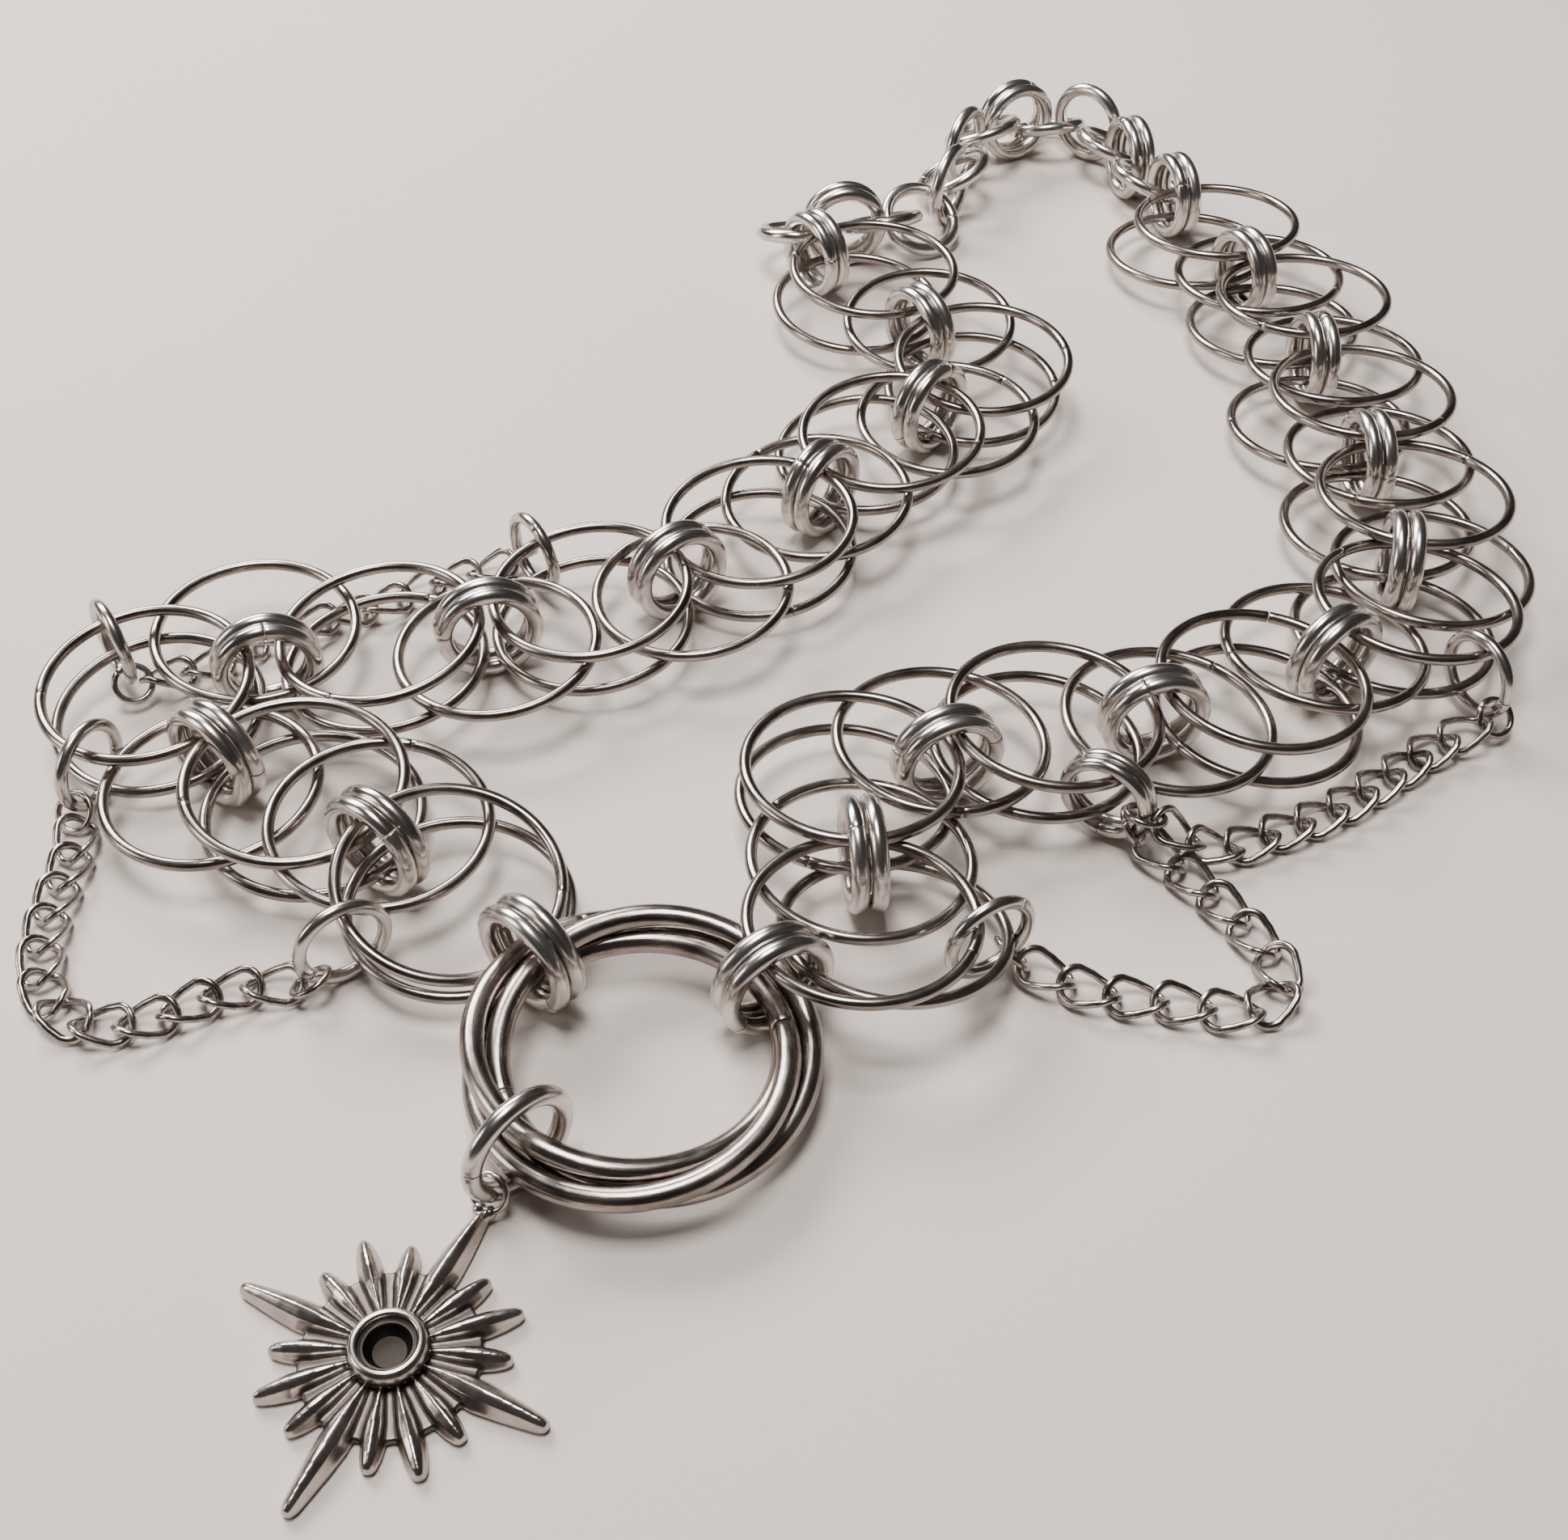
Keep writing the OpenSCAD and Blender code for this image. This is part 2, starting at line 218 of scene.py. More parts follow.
cameraData = bpy.data.cameras.new("camera")
cameraData.lens = cameraLook["lens"]
cameraData.sensor_width = cameraLook["sensor"]
cameraData.sensor_fit = "HORIZONTAL"
cameraData.clip_start = cameraLook["near"]
camera = bpy.data.objects.new("camera", cameraData)
camera.location = Vector(cameraLook["at"]) * mm
camera.rotation_euler = (radians(90 - cameraLook["pitch"]), 0, 0)
bpy.context.scene.collection.objects.link(camera)
bpy.context.scene.camera = camera

floorFinish, floorShader, socket = newMaterial("paperFloor")
spot = socket.make("ShaderNodeTexCoord", {}, {}, "Object")
cloud = spot.noise(floorLook["cloud"], 2)
grain = spot.noise(floorLook["grain"], 2)
floorFinish.node_tree.links.new((cloud * 0.8 + grain * 0.2).blend(floorLook["shade"], floorLook["tone"]).out,
    floorShader.inputs["Base Color"])
floorShader.inputs["Roughness"].default_value = floorLook["roughness"]
floorShader.inputs["Specular IOR Level"].default_value = floorLook["specular"]
bpy.ops.object.select_all(action="DESELECT")
bpy.ops.mesh.primitive_plane_add(size=floorLook["size"], location=(0, 0, -floorLook["drop"]))
floor = bpy.context.object
floor.name = "floor"
bpy.ops.object.transform_apply(location=True)
floor.data.materials.append(floorFinish)

for name, look in lightLooks.items():
    lamp = bpy.data.lights.new(name, "AREA")
    lamp.shape = "RECTANGLE"
    lamp.size, lamp.size_y = (side * mm for side in look["size"])
    lamp.energy = look["power"]
    lamp.color = look["tone"]
    light = bpy.data.objects.new(name, lamp)
    light.location = Vector(look["at"]) * mm
    light.rotation_euler = (Vector(look["aim"]) - Vector(look["at"])).to_track_quat("-Z", "Y").to_euler()
    bpy.context.scene.collection.objects.link(light)

room = bpy.data.worlds.new("room")
room.use_nodes = True
room.node_tree.nodes["Background"].inputs["Color"].default_value = roomLook["tone"]
room.node_tree.nodes["Background"].inputs["Strength"].default_value = roomLook["strength"]
bpy.context.scene.world = room
print("camera, floor and lights set")


# Finishes

wireLooks = {
    "large": {"tone": rgb(0.37, 0.322, 0.296), "shade": rgb(0.155, 0.133, 0.12),
        "roughness": 0.23, "vary": 0.16, "bump": 0.22},
    "small": {"tone": rgb(0.68, 0.635, 0.605), "shade": rgb(0.38, 0.345, 0.322),
        "roughness": 0.23, "vary": 0.14, "bump": 0.2},
    "centre": {"tone": rgb(0.42, 0.365, 0.333), "shade": rgb(0.14, 0.118, 0.105),
        "roughness": 0.24, "vary": 0.2, "bump": 0.4},
    "swag": {"tone": rgb(0.6, 0.555, 0.525), "shade": rgb(0.29, 0.262, 0.243),
        "roughness": 0.22, "vary": 0.12, "bump": 0.16},
}
# how fast each pattern changes along, out from and up the wire, for each mm, and how deep the lines are, in m
drawnLines = {"lines": (0.13, 5, 5), "hair": (0.5, 16, 16), "clouds": (0.3, 0.5, 0.5), "deep": 0.00004}
# clouds and fine marks to a metre
fineChainLook = {"tone": rgb(0.42, 0.375, 0.35), "shade": rgb(0.19, 0.165, 0.15),
    "roughness": 0.24, "vary": 0.12, "cloud": 420, "fine": 3600}


def drawnSteel(name, look):
    # Wire steel with the long lines that drawing leaves, from the places along and across the wire
    material, shader, socket = newMaterial(name)
    wire = socket.make("ShaderNodeAttribute", {"attribute_name": "wire"}, {}, "Vector")
    lines = wire.stretched(*drawnLines["lines"]).noise(1, 4, 0.65)
    hair = wire.stretched(*drawnLines["hair"]).noise(1, 2)
    clouds = wire.stretched(*drawnLines["clouds"]).noise(1, 3)
    wear = lines * 0.55 + clouds * 0.45
    links = material.node_tree.links
    links.new(wear.between(0.32, 0.62).blend(look["shade"], look["tone"]).out, shader.inputs["Base Color"])
    rough = look["roughness"] + (lines - 0.5) * look["vary"] + (clouds - 0.5) * look["vary"]
    links.new(rough.out, shader.inputs["Roughness"])
    bump = socket.make("ShaderNodeBump", {},
        {"Height": lines * 0.6 + hair * 0.4, "Strength": look["bump"], "Distance": drawnLines["deep"]})
    links.new(bump.out, shader.inputs["Normal"])
    shader.inputs["Metallic"].default_value = 1
    return material


def polishedSteel(name, look):
    # Small bent parts, clouded by their places in the frame
    material, shader, socket = newMaterial(name)
    spot = socket.make("ShaderNodeTexCoord", {}, {}, "Object")
    clouds = spot.noise(look["cloud"], 3)
    fine = spot.noise(look["fine"], 3)
    wear = clouds * 0.6 + fine * 0.4
    links = material.node_tree.links
    links.new(wear.between(0.35, 0.6).blend(look["shade"], look["tone"]).out, shader.inputs["Base Color"])
    links.new((look["roughness"] + (clouds - 0.5) * look["vary"]).out, shader.inputs["Roughness"])
    shader.inputs["Metallic"].default_value = 1
    return material


largeSteel = drawnSteel("largeRingSteel", wireLooks["large"])
smallSteel = drawnSteel("smallRingSteel", wireLooks["small"])
centreSteel = drawnSteel("centreRingSteel", wireLooks["centre"])
swagSteel = drawnSteel("swagRingSteel", wireLooks["swag"])
chainSteel = polishedSteel("fineChainSteel", fineChainLook)
print("wire finishes made")


# Rings of round wire

ringLooks = {
    # outer diameter, wire, steps round the ring, facets round the wire, gap and edge break at the cut, in mm
    "large": {"outer": 20, "wire": 1.1, "steps": 120, "facets": 14, "cut": 0.08, "edge": 0.05},
    "small": {"outer": 10.4, "wire": 1.6, "steps": 72, "facets": 18, "cut": 0.06, "edge": 0.07},
    "centre": {"outer": 26.6, "wire": 2, "steps": 160, "facets": 26, "cut": 0.07, "edge": 0.08},
    "swag": {"outer": 8.8, "wire": 1.2, "steps": 64, "facets": 16, "cut": 0.06, "edge": 0.06},
    "eye": {"outer": 4.1, "wire": 0.62, "steps": 40, "facets": 12, "cut": 0.04, "edge": 0.04},
    "bail": {"outer": 3.5, "wire": 0.55, "steps": 48, "facets": 12, "cut": 0.03, "edge": 0.03},
}
startSlack = 0.002  # radians, keeps the first cut end's points from wrapping round to the last
sameSpot = 5e-6  # corners nearer than this, in m, are one spot of a shell
lyingAbove = 0.7  # a ring whose axis rises more than this lies, and the others stand
nextStretch = 71.3  # mm along the drawn lines from one ring to the next
nextCut = 137  # degrees from one ring's cut to the next one's


def keepWirePlaces(piece, middle):
    # Each point's place along and across the wire, in mm, for the drawn lines
    at = vertexPlaces(piece.data) / mm
    turn = np.mod(np.arctan2(at[:, 1], at[:, 0]) + startSlack, 2 * pi)
    places = np.column_stack((turn * middle, np.hypot(at[:, 0], at[:, 1]) - middle, at[:, 2]))
    store = piece.data.attributes.new("wire", "FLOAT_VECTOR", "POINT")
    store.data.foreach_set("vector", places.astype(np.float32).ravel())


def bendWire(name, look, opening=0):
    # A round wire bent to a level ring, its two cut ends at +X
    middle = (look["outer"] - look["wire"]) / 2
    bpy.ops.object.select_all(action="DESELECT")
    bpy.ops.mesh.primitive_circle_add(vertices=look["facets"], radius=look["wire"] / 2 * mm, fill_type="NGON",
        location=(middle * mm, 0, 0), rotation=(pi / 2, 0, 0))
    piece = bpy.context.object
    piece.name = name
    bpy.ops.object.transform_apply(location=True, rotation=True, scale=True)
    editAll(piece)
    bpy.ops.mesh.spin(steps=look["steps"], angle=2 * pi - radians(opening) - look["cut"] / middle,
        center=(0, 0, 0), axis=(0, 0, 1))
    editOnly(piece, lambda face: len(face.vertices) == look["facets"])
    bpy.ops.mesh.bevel(offset=look["edge"] * mm, segments=2, affect="EDGES")
    editAll(piece)
    bpy.ops.mesh.normals_make_consistent(inside=False)
    leaveEdit()
    keepWirePlaces(piece, middle)
    activate(piece)
    bpy.ops.object.shade_smooth_by_angle(angle=radians(50))
    return piece


def ringsOf(node):
    # Centre and axis of every ring in a CAD node, from the spread of its own shell's faces
    mesh = frame["nodes"][node].data
    mesh.calc_loop_triangles()
    corners = np.empty(len(mesh.loop_triangles) * 3, np.int32)
    mesh.loop_triangles.foreach_get("vertices", corners)
    places = vertexPlaces(mesh)
    spots, same = np.unique(np.round(places / sameSpot).astype(int), axis=0, return_inverse=True)
    faces = same.ravel()[corners].reshape(-1, 3)
    shell = np.arange(len(spots))
    while True:
        lowest = shell[faces].min(axis=1)
        after = shell.copy()
        for side in range(3):
            np.minimum.at(after, faces[:, side], lowest)
        after = after[after]
        if (after == shell).all():
            break
        shell = after
    a, b, c = (places[corners.reshape(-1, 3)[:, side]] for side in range(3))
    area = np.linalg.norm(np.cross(b - a, c - a), axis=1) / 2
    centroid = (a + b + c) / 3
    rings = []
    for label in np.unique(shell[faces[:, 0]]):
        own = shell[faces[:, 0]] == label
        weight = area[own] / area[own].sum()
        centre = weight @ centroid[own]
        away = centroid[own] - centre
        axis = np.linalg.eigh((away * weight[:, None]).T @ away)[1][:, 0]
        rings.append((Vector(centre), Vector(axis)))
    return sorted(rings, key=lambda ring: (round(ring[0].x, 5), round(ring[0].y, 5)))


def ringPlace(centre, axis, cutAt):
    # The cut's angle counts from +X on a lying ring, and from the lowest point on a standing one
    lying = abs(axis.z) > lyingAbove
    if (axis.z if lying else axis.y) < 0:
        axis = -axis
    start = Vector((1, 0, 0)) if lying else Vector((0, 0, -1))
    x = (start - start.dot(axis) * axis).normalized()
    y = axis.cross(x)
    turned = Matrix((x, y, axis)).transposed().to_4x4()
    return Matrix.Translation(centre) @ turned @ Matrix.Rotation(radians(cutAt), 4, "Z")


ringCount = 0


def placeRing(master, place):
    # Each copy takes its own stretch of the drawn lines
    global ringCount
    ringCount += 1
    piece = copyTo(master, "ring", place)
    store = piece.data.attributes["wire"].data
    along = np.empty(len(store) * 3, np.float32)
    store.foreach_get("vector", along)
    along[0::3] += ringCount * nextStretch
    store.foreach_set("vector", along)
    return piece


cutAngles = {
    # where the wire ends meet, for the rings that show it
    "left_pair_8": (5, 8),
    "left_pair_2": (200, -35),
    "left_pair_4": (70, 250),
    "centre_ring_1": (112,),
    "centre_ring_2": (14,),
    "centre_ring_3": (200,),
}


def wireRings(node, kind, material):
    master = masters[kind]
    parts = []
    for number, (centre, axis) in enumerate(ringsOf(node)):
        cutAt = cutAngles[node][number] if node in cutAngles else (ringCount * nextCut) % 360
        parts.append(placeRing(master, ringPlace(centre, axis, cutAt)))
    return finishPiece(parts, node + "_wire", node, material)


masters = {kind: bendWire(kind + "Ring", look) for kind, look in ringLooks.items()}
for side in ("left", "right"):
    for number in range(1, 10):
        wireRings(f"{side}_pair_{number}", "large", largeSteel)
    for number in range(10):
        wireRings(f"{side}_link_{number}", "small", smallSteel)
    wireRings(f"{side}_loose_rings", "large", largeSteel)
    wireRings(f"{side}_end_chain", "small", smallSteel)
    wireRings(f"{side}_swag_rings", "swag", swagSteel)
for number in range(1, 4):
    wireRings(f"centre_ring_{number}", "centre", centreSteel)
wireRings("pendant_ring", "small", smallSteel)
print("rings bent:", ringCount)


# Hook that closes the neck

hookLook = {"outer": 10.4, "wire": 1.6, "steps": 60, "facets": 18, "cut": 0, "edge": 0.35, "opening": 60,
    "start": 80, "at": (18.2, 71.6, 5.2), "way": 62}

hookWire = bendWire("hookWire", hookLook, hookLook["opening"])
hookTurn = Matrix.Rotation(radians(hookLook["way"] - 90), 4, "Z") @ Matrix.Rotation(radians(90), 4, "Y")
hookStart = Matrix.Rotation(radians(hookLook["start"]), 4, "Z")
hookPlace = Matrix.Translation((Vector(hookLook["at"]) + home) * mm) @ hookTurn @ hookStart
finishPiece([placeRing(hookWire, hookPlace)], "clasp_hook_wire", "clasp_hook", smallSteel)
print("hook bent")


# Fine curb chains

# twist in degrees, height of the middle line and least gap above the floor, in mm
linkLook = {"long": 5.7, "wide": 4.1, "wire": 0.7, "steps": 40, "facets": 10,
    "twist": 92, "low": 1.11, "clear": 0.01}
hangers = {
    # x, y and height of the middle of a standing ring, its way, and how many stand side by side
    "leftFirst": (-28.1, -2.7, 5, 126, 1),
    "leftSecond": (-67, -16.6, 5.3, 125, 1),
    "leftThird": (-65.5, -32.4, 4.4, 248, 1),
    "leftFourth": (-39.4, -53.1, 4.4, 214, 1),
    "rightFirst": (13.9, -53.3, 5.25, 30, 1),
    "rightSecond": (25.6, -36.5, 4.9, -32, 2),
    "rightThird": (62.2, -20.9, 5.1, -63, 1),
}
# radius of a hanger's middle line, how much further out an eye hangs on a single one, and the eye's cut
hangerLook = {"middle": 3.8, "slack": 0.6, "eyeCut": 150}
swagLooks = {
    # each end: hanger, how far round it from the bottom in degrees, how far out in its eye the link
    # sits in mm, and how much of the way the eye turns with the link
    "swag_chain_1": {"from": ("leftFirst", 50, 0.6, 0.35), "to": ("leftSecond", -50, 0.9, 0.35),
        "pitch": 3.7, "hand": 1,
        "route": [(-34, -0.9), (-39, -2.8), (-44, -6.5), (-49, -8.4), (-54, -11), (-58, -15)]},
    "swag_chain_2": {"from": ("leftThird", 50, 0.6, 0.2), "to": ("leftFourth", 50, 0.75, 0.65),
        "pitch": 3.6, "hand": 1,
        "route": [(-65.7, -40.2), (-66, -47), (-65, -54), (-61.5, -58.6), (-55.5, -58.8), (-49, -55.5)]},
    "swag_chain_3": {"from": ("rightSecond", 48, 0.9, 0.8), "to": ("rightFirst", 36, 0.75, 0.5),
        "pitch": 3.9, "hand": -1,
        "route": [(32.5, -43), (36.6, -49.1), (38.6, -54), (35.8, -57.8), (29, -56.8), (22.4, -55.6)]},
    "swag_chain_4": {"from": ("rightThird", 50, 0.9, 0.35), "to": ("rightSecond", 80, 0.9, 0.5),
        "pitch": 3.6, "hand": -1,
        "route": [(57.3, -26.9), (51.8, -31.2), (45.9, -35.3), (40, -38), (35.4, -39.8)]},
}


def bendLink(twist):
    # A long oval of thin wire, twisted about its length so that its ends stand across each other
    bend = (linkLook["wide"] - linkLook["wire"]) / 2
    half = (linkLook["long"] - linkLook["wire"]) / 2
    bpy.ops.object.select_all(action="DESELECT")
    bpy.ops.mesh.primitive_torus_add(major_segments=linkLook["steps"], minor_segments=linkLook["facets"],
        major_radius=bend * mm, minor_radius=linkLook["wire"] / 2 * mm)
    piece = bpy.context.object
    for way in (-1, 1):
        editOnly(piece, lambda vertex: vertex.co.x * way > 1e-6, "VERT")
        bpy.ops.transform.translate(value=((half - bend) * way * mm, 0, 0))
        leaveEdit()
    applyModifier(piece, "SIMPLE_DEFORM", deform_method="TWIST", deform_axis="X", angle=radians(twist))
    activate(piece)
    bpy.ops.object.shade_smooth()
    return piece


def outOf(hanger, around):
    way = radians(hanger[3])
    return Vector((sin(radians(around)) * cos(way), sin(radians(around)) * sin(way), -cos(radians(around))))


def alongOf(hanger, around):
    way = radians(hanger[3])
    return Vector((cos(radians(around)) * cos(way), cos(radians(around)) * sin(way), sin(radians(around))))


def eyeAt(hanger, around):
    slack = hangerLook["slack"] if hanger[4] == 1 else 0
    return Vector(hanger[:3]) + (hangerLook["middle"] + slack) * outOf(hanger, around)


def pullOn(hanger, around, goal):
    # The way in which the chain pulls on an eye
    u = outOf(hanger, around)
    v = Vector((-sin(radians(hanger[3])), cos(radians(hanger[3])), 0))
    at = eyeAt(hanger, around)
    d = Vector((goal[0] - at.x, goal[1] - at.y, 0))
    return (d.dot(u) * u + d.dot(v) * v).normalized()


def smoothCurve(points, steps=24):
    # A curve through the points, with a few steps from each to the next
    line = []
    for k in range(len(points) - 1):
        a, b, c, d = (points[min(max(k + i, 0), len(points) - 1)] for i in (-1, 0, 1, 2))
        for t in (step / steps for step in range(steps)):
            bow = (2 * a - 5 * b + 4 * c - d) * t * t
            line.append(0.5 * (2 * b + (c - a) * t + bow + (3 * b - a - 3 * c + d) * t ** 3))
    return line + [points[-1]]


def turnEye(hanger, around, pull, side, lift, linkAngle, share):
    # The eye's plane holds the pull, and turns part of the way to stand across the link's end
    wire = alongOf(hanger, around)
    across = np.degrees(np.arctan2(wire.dot(lift), wire.dot(side))) + 90
    across += share * ((linkAngle + 90 - across + 90) % 180 - 90)
    flat = cos(radians(across)) * side + sin(radians(across)) * lift
    return pull.cross(flat).normalized()


def swagChain(node, look):
    low = linkLook["low"]
    ends, tips = [], []
    for end, goal in (("from", look["route"][0]), ("to", look["route"][-1])):
        name, around, out, share = look[end]
        hanger = hangers[name]
        pull = pullOn(hanger, around, goal)
        ends.append((hanger, around, pull, share))
        tips.append(eyeAt(hanger, around) + out * pull)
    points = [tips[0]] + [Vector((x, y, low)) for x, y in look["route"]] + [tips[1]]
    line = np.array([[p.x, p.y, max(p.z, low)] for p in smoothCurve(points)])
    far = np.concatenate([[0], np.cumsum(np.linalg.norm(np.diff(line, axis=0), axis=1))])
    half = (linkLook["long"] - linkLook["wire"]) / 2
    total = far[-1]

    def at(run):
        return Vector([np.interp(run, far, line[:, k]) for k in range(3)])

    count = int((total - 2 * half) / look["pitch"] + 0.5) + 1
    pitch = (total - 2 * half) / (count - 1)
    parts = []
    for number in range(count):
        run = half + number * pitch
        x = (at(run + half) - at(run - half)).normalized()
        centre = (at(run + half * 0.8) + at(run - half * 0.8)) / 4 + at(run) / 2
        y = Vector((0, 0, 1)).cross(x).normalized()
        z = x.cross(y)
        piece = copyTo(curbLinks[look["hand"]], "link", Matrix((x, y, z)).transposed().to_4x4())
        lowest = vertexPlaces(piece.data)[:, 2].min() / mm + centre.z
        centre.z += max(0, linkLook["clear"] - lowest)
        piece.data.transform(Matrix.Translation((centre + home) * mm))
        parts.append(piece)
        if number in (0, count - 1):
            hanger, around, pull, share = ends[0 if number == 0 else 1]
            linkAngle = linkLook["twist"] / 2 * look["hand"] * (-1 if number == 0 else 1)
            axis = turnEye(hanger, around, pull, y, z, linkAngle, share)
            place = ringPlace((eyeAt(hanger, around) + home) * mm, axis, hangerLook["eyeCut"])
            parts.append(copyTo(masters["eye"], "eye", place))
    return finishPiece(parts, node + "_links", node, chainSteel)


curbLinks = {hand: bendLink(hand * linkLook["twist"]) for hand in (1, -1)}
for node, look in swagLooks.items():
    swagChain(node, look)
for link in curbLinks.values():
    bpy.data.objects.remove(link)
print("swag chains linked")


# Cast star

starLook = {
    "at": (-31, -88.1, 0), "way": 65, "rays": 16, "tip": 13, "edge": 0.8, "under": 0.09,
    # along, half width and height of each kind of ray's ridge, in mm
    "long": [(1.5, 0.3, 1.3), (2.9, 0.44, 1.55), (4.2, 0.76, 1.75), (6, 1.14, 1.9), (7.4, 1.24, 1.9),
        (9.2, 1.08, 1.78), (11, 0.84, 1.55), (12.3, 0.66, 1.3), (12.76, 0.46, 1.05), (12.92, 0.24, 0.75)],
    "mid": [(1.5, 0.28, 1.3), (2.9, 0.4, 1.55), (4.2, 0.68, 1.7), (5.8, 0.95, 1.8), (7.1, 1, 1.76),
        (8.4, 0.84, 1.54), (9.3, 0.62, 1.28), (9.65, 0.44, 1.02), (9.78, 0.22, 0.75)],
    "short": [(1.5, 0.28, 1.3), (2.9, 0.4, 1.55), (4.2, 0.66, 1.68), (5.4, 0.9, 1.78), (6.4, 0.94, 1.72),
        (7.6, 0.8, 1.5), (8.35, 0.6, 1.24), (8.66, 0.42, 1), (8.78, 0.22, 0.75)],
    # height of a ray's widest line in mm, and how much narrower a ray gets above each share of its crest
    "sink": 0.5, "facets": 16, "crest": [(0.3, 0.8), (0.8, 0.7)],
    # the web between the rays, with how far in and up its middle goes
    "webOuter": 6.6, "webHigh": 0.75, "webIn": 3.2, "webUp": 0.25,
    # the two beads that hold the bail, and the bail's own tilt and cut in degrees
    "beadAt": 0.42, "bead": 0.6, "beadIn": 0.1, "bailTilt": 57, "bailCut": 100,
    # the bezel, with how far in and up each of its steps goes
    "bezel": 3.05, "bezelLow": 0.6, "bezelSide": 1.75,
    "bezelSteps": [(0.12, 0.3), (0.13, 0.28), (0.2, 0.2), (0.2, 0.05), (0.2, -0.06), (0.12, -0.25),
        (0.05, -0.3), (0.08, -0.12), (0.08, 0.1), (0.1, 0.02), (0.08, -0.3), (0.25, -0.5), (0.4, -0.35),
        (0.45, -0.2), (0.4, -0.06)],
    # how finely the cast body melts together, and how much it is smoothed
    "voxel": 0.11, "smooth": 3, "smoothBy": 0.5,
}


def castRay(stations):
    # A ridged ray lofted along +X, flat below
    along, wide, high = stations[0]
    sink = starLook["sink"]
    bpy.ops.object.select_all(action="DESELECT")
    bpy.ops.mesh.primitive_circle_add(vertices=starLook["facets"], radius=mm, fill_type="NGON",
        location=(along * mm, 0, sink * mm), rotation=(0, pi / 2, 0))
    piece = bpy.context.object
    bpy.ops.object.transform_apply(location=True, rotation=True, scale=True)
    for above, narrower in starLook["crest"]:
        editOnly(piece, lambda vertex: vertex.co.z > (sink + above) * mm, "VERT")
        bpy.ops.transform.resize(value=(1, narrower, 1), center_override=(0, 0, 0))
    editAll(piece)
    bpy.ops.transform.resize(value=(1, wide, high - sink), center_override=(0, 0, sink * mm))
    for nextAlong, nextWide, nextHigh in stations[1:]:
        bpy.ops.mesh.extrude_region_move(TRANSFORM_OT_translate={"value": ((nextAlong - along) * mm, 0, 0)})
        bpy.ops.transform.resize(value=(1, nextWide / wide, (nextHigh - sink) / (high - sink)),
            center_override=(0, 0, sink * mm))
        along, wide, high = nextAlong, nextWide, nextHigh
    editAll(piece)
    bpy.ops.mesh.normals_make_consistent(inside=False)
    bpy.ops.mesh.bisect(plane_co=(0, 0, starLook["under"] * mm), plane_no=(0, 0, 1),
        use_fill=True, clear_inner=True)
    leaveEdit()
    return piece


def castBezel():
    # A round cup whose rim and floor are stepped in from its top
    low, side = starLook["bezelLow"], starLook["bezelSide"]
    bpy.ops.object.select_all(action="DESELECT")
    bpy.ops.mesh.primitive_cylinder_add(vertices=64, radius=starLook["bezel"] * mm, depth=(side - low) * mm,
        location=(0, 0, (side + low) / 2 * mm))
    piece = bpy.context.object
    bpy.ops.object.transform_apply(location=True)
    editOnly(piece, lambda face: face.normal.z > 0.9)
    for inward, rise in starLook["bezelSteps"]:
        bpy.ops.mesh.inset(thickness=inward * mm, depth=rise * mm)
    leaveEdit()
    applyModifier(piece, "SUBSURF", levels=1, render_levels=1)
    activate(piece)
    bpy.ops.object.shade_smooth()
    return piece


def castWeb():
    # The thin plate between the rays, a little higher in its middle
    under, high = starLook["under"], starLook["webHigh"]
    bpy.ops.object.select_all(action="DESELECT")
    bpy.ops.mesh.primitive_cylinder_add(vertices=96, radius=starLook["webOuter"] * mm,
        depth=(high - under) * mm, location=(0, 0, (high + under) / 2 * mm))
    web = bpy.context.object
    bpy.ops.object.transform_apply(location=True)
    editOnly(web, lambda face: face.normal.z > 0.9)
    bpy.ops.mesh.inset(thickness=starLook["webIn"] * mm, depth=starLook["webUp"] * mm)
    leaveEdit()
    return web


def castBead(side):
    # One of the two beads that hold the bail at the first ray's end
    bpy.ops.object.select_all(action="DESELECT")
    bpy.ops.mesh.primitive_uv_sphere_add(segments=24, ring_count=16, radius=starLook["bead"] * mm,
        location=((starLook["tip"] - starLook["beadIn"]) * mm, side * starLook["beadAt"] * mm,
            starLook["edge"] * mm))
    bead = bpy.context.object
    bpy.ops.object.transform_apply(location=True)
    return bead


def castStar():
    turn = 360 / starLook["rays"]
    rayKinds = {kind: castRay(starLook[kind]) for kind in ("long", "mid", "short")}
    parts = []
    for number in range(starLook["rays"]):
        kind = "long" if number % 4 == 0 else "mid" if number % 4 == 2 else "short"
        parts.append(copyTo(rayKinds[kind], "ray", Matrix.Rotation(radians(turn * number), 4, "Z")))
    for ray in rayKinds.values():
        bpy.data.objects.remove(ray)
    parts += [castWeb(), castBead(-1), castBead(1)]
    activate(*parts)
    bpy.ops.object.join()
    body = parts[0]
    applyModifier(body, "REMESH", mode="VOXEL", voxel_size=starLook["voxel"] * mm)
    applyModifier(body, "SMOOTH", factor=starLook["smoothBy"], iterations=starLook["smooth"])
    activate(body)
    bpy.ops.object.shade_smooth()
    bail = ringLooks["bail"]
    atTip = Matrix.Translation((starLook["tip"] * mm, 0, starLook["edge"] * mm))
    lean = Matrix.Rotation(radians(-starLook["bailTilt"]), 4, "Y")
    outward = Matrix.Translation(((bail["outer"] - bail["wire"]) / 2 * mm, 0, 0))
    cut = Matrix.Rotation(radians(starLook["bailCut"]), 4, "Z")
    ring = copyTo(masters["bail"], "bail", atTip @ lean @ outward @ cut)
    whole = [body, castBezel(), ring]
    turned = Matrix.Rotation(radians(starLook["way"]), 4, "Z")
    place = Matrix.Translation((Vector(starLook["at"]) + home) * mm) @ turned
    for piece in whole:
        piece.data.transform(place)
    return finishPiece(whole, "star_pendant_cast", "star_pendant", starSteel)


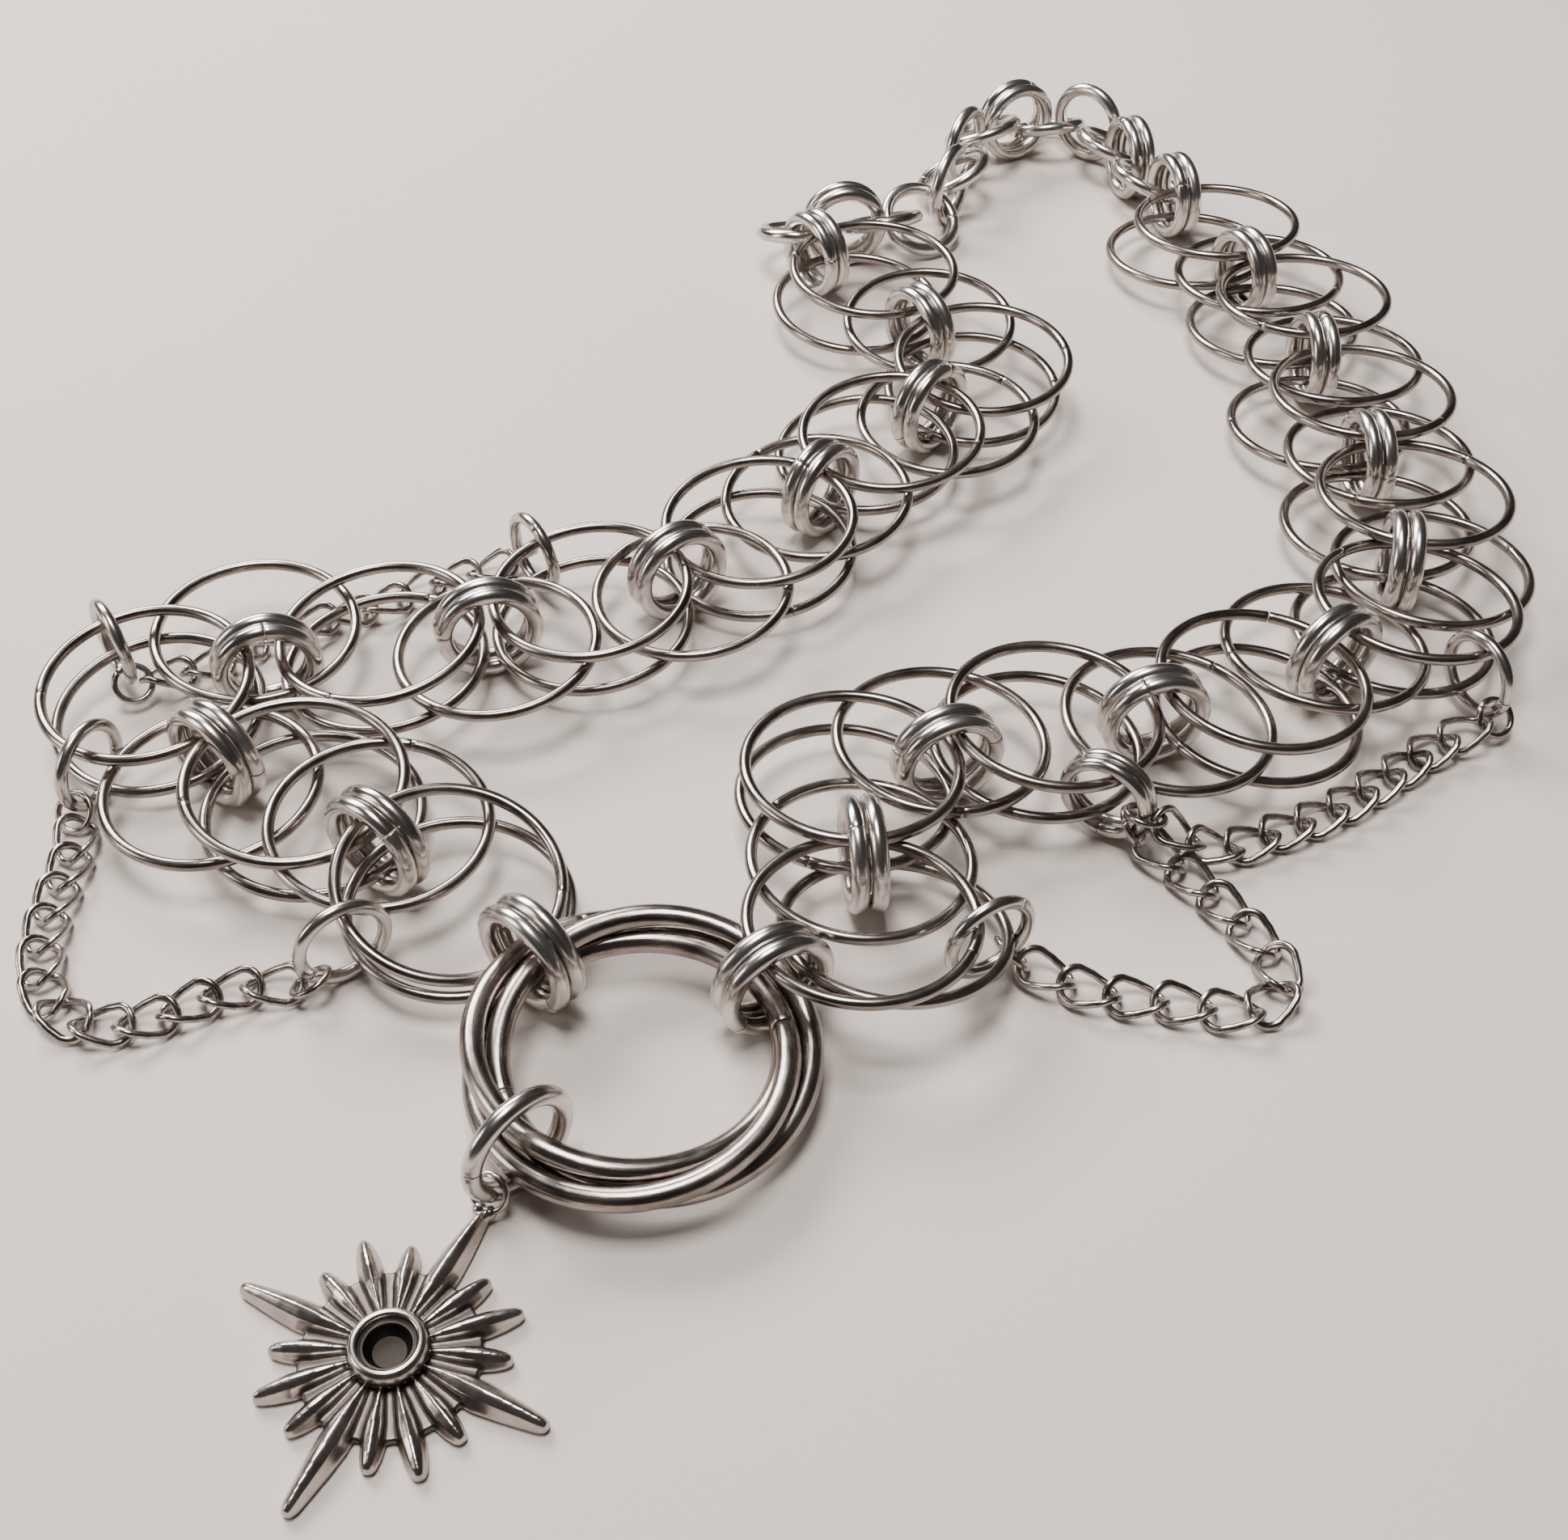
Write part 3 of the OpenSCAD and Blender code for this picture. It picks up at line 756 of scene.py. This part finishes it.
castLook = {
    # the last colour on this line is dark patina with painted shade, for the hollows between the rays
    "bright": rgb(0.5, 0.448, 0.42), "dull": rgb(0.36, 0.318, 0.295), "patinaAndShade": rgb(0.085, 0.071, 0.063),
    # the first colour on this line is painted shade, nearly black, for the bezel's cup
    "cup": rgb(0.03, 0.025, 0.022), "roughness": 0.24, "bump": 0.14, "deep": 0.0001,
    # blotches and pits to a metre
    "blotch": 500, "pits": 2600,
    # heights, and reaches from the star's middle, in mm, over which each darkening fades
    "valleyHigh": (0.95, 1.45), "valleyReach": (6.2, 7.2), "webHigh": (0.75, 1), "webReach": (6.6, 7.2),
    "collarFrom": (3, 3.12), "collarTo": (3.2, 3.6), "cupReach": (1.9, 2.15), "cupHigh": (1.6, 2.4),
}


def antiqueAndShadeCast(name, look):
    # Bright on the ridges and the bezel's rim; dark patina with painted shade in the hollows between the
    # rays, over the web and round the bezel's foot, and painted shade, nearly black, in the cup
    material, shader, socket = newMaterial(name)
    spot = socket.make("ShaderNodeTexCoord", {}, {}, "Object")
    centre = (Vector(starLook["at"]) + home) * mm
    local = spot.moved(tuple(centre))
    flat = local.stretched(1, 1, 0)
    reach = socket.make("ShaderNodeVectorMath", {"operation": "LENGTH"}, {0: flat}, "Value") * 1000
    height = socket.make("ShaderNodeSeparateXYZ", {}, {0: local}, "Z") * 1000
    blotch = spot.noise(look["blotch"], 4, 0.6)
    pits = spot.noise(look["pits"], 3, 0.6)
    # painted shade along with patina: low places near the middle, the web and a ring round the bezel's foot
    # are darkened where shade falls
    valley = height.between(*look["valleyHigh"], 1, 0) * reach.between(*look["valleyReach"], 1, 0)
    web = height.between(*look["webHigh"], 1, 0) * reach.between(*look["webReach"], 1, 0)
    collar = reach.between(*look["collarFrom"]) * reach.between(*look["collarTo"], 1, 0)
    # painted shade: the inside of the bezel's cup goes nearly black, standing in for its shade and hiding its
    # reflection
    cup = reach.between(*look["cupReach"], 1, 0) * height.between(*look["cupHigh"], 1, 0)
    outer = socket.maths("MAXIMUM", valley * 0.85, web * 0.75)
    dark = socket.maths("MAXIMUM", outer, socket.maths("MAXIMUM", collar * 0.7, cup))
    dark = (dark * (0.7 + blotch * 0.6)).between(0.05, 0.85)
    links = material.node_tree.links
    bright = blotch.between(0.3, 0.7).blend(look["dull"], look["bright"])
    patinaAndShade = dark.blend(bright, look["patinaAndShade"])
    links.new(cup.blend(patinaAndShade, look["cup"]).out, shader.inputs["Base Color"])
    rough = look["roughness"] + dark * 0.12 + cup * 0.15 + (pits - 0.5) * 0.08 + (blotch - 0.5) * 0.06
    links.new(rough.out, shader.inputs["Roughness"])
    bump = socket.make("ShaderNodeBump", {},
        {"Height": pits * 0.3 + blotch * 0.7, "Strength": look["bump"], "Distance": look["deep"]})
    links.new(bump.out, shader.inputs["Normal"])
    shader.inputs["Metallic"].default_value = 1
    return material


starSteel = antiqueAndShadeCast("starMetal", castLook)
castStar()
print("star cast")

for master in masters.values():
    bpy.data.objects.remove(master)
bpy.data.objects.remove(hookWire)

pieces = [piece for piece in bpy.data.objects if piece.get("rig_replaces")]
print("triangles:", sum(len(face.vertices) - 2 for piece in pieces for face in piece.data.polygons))
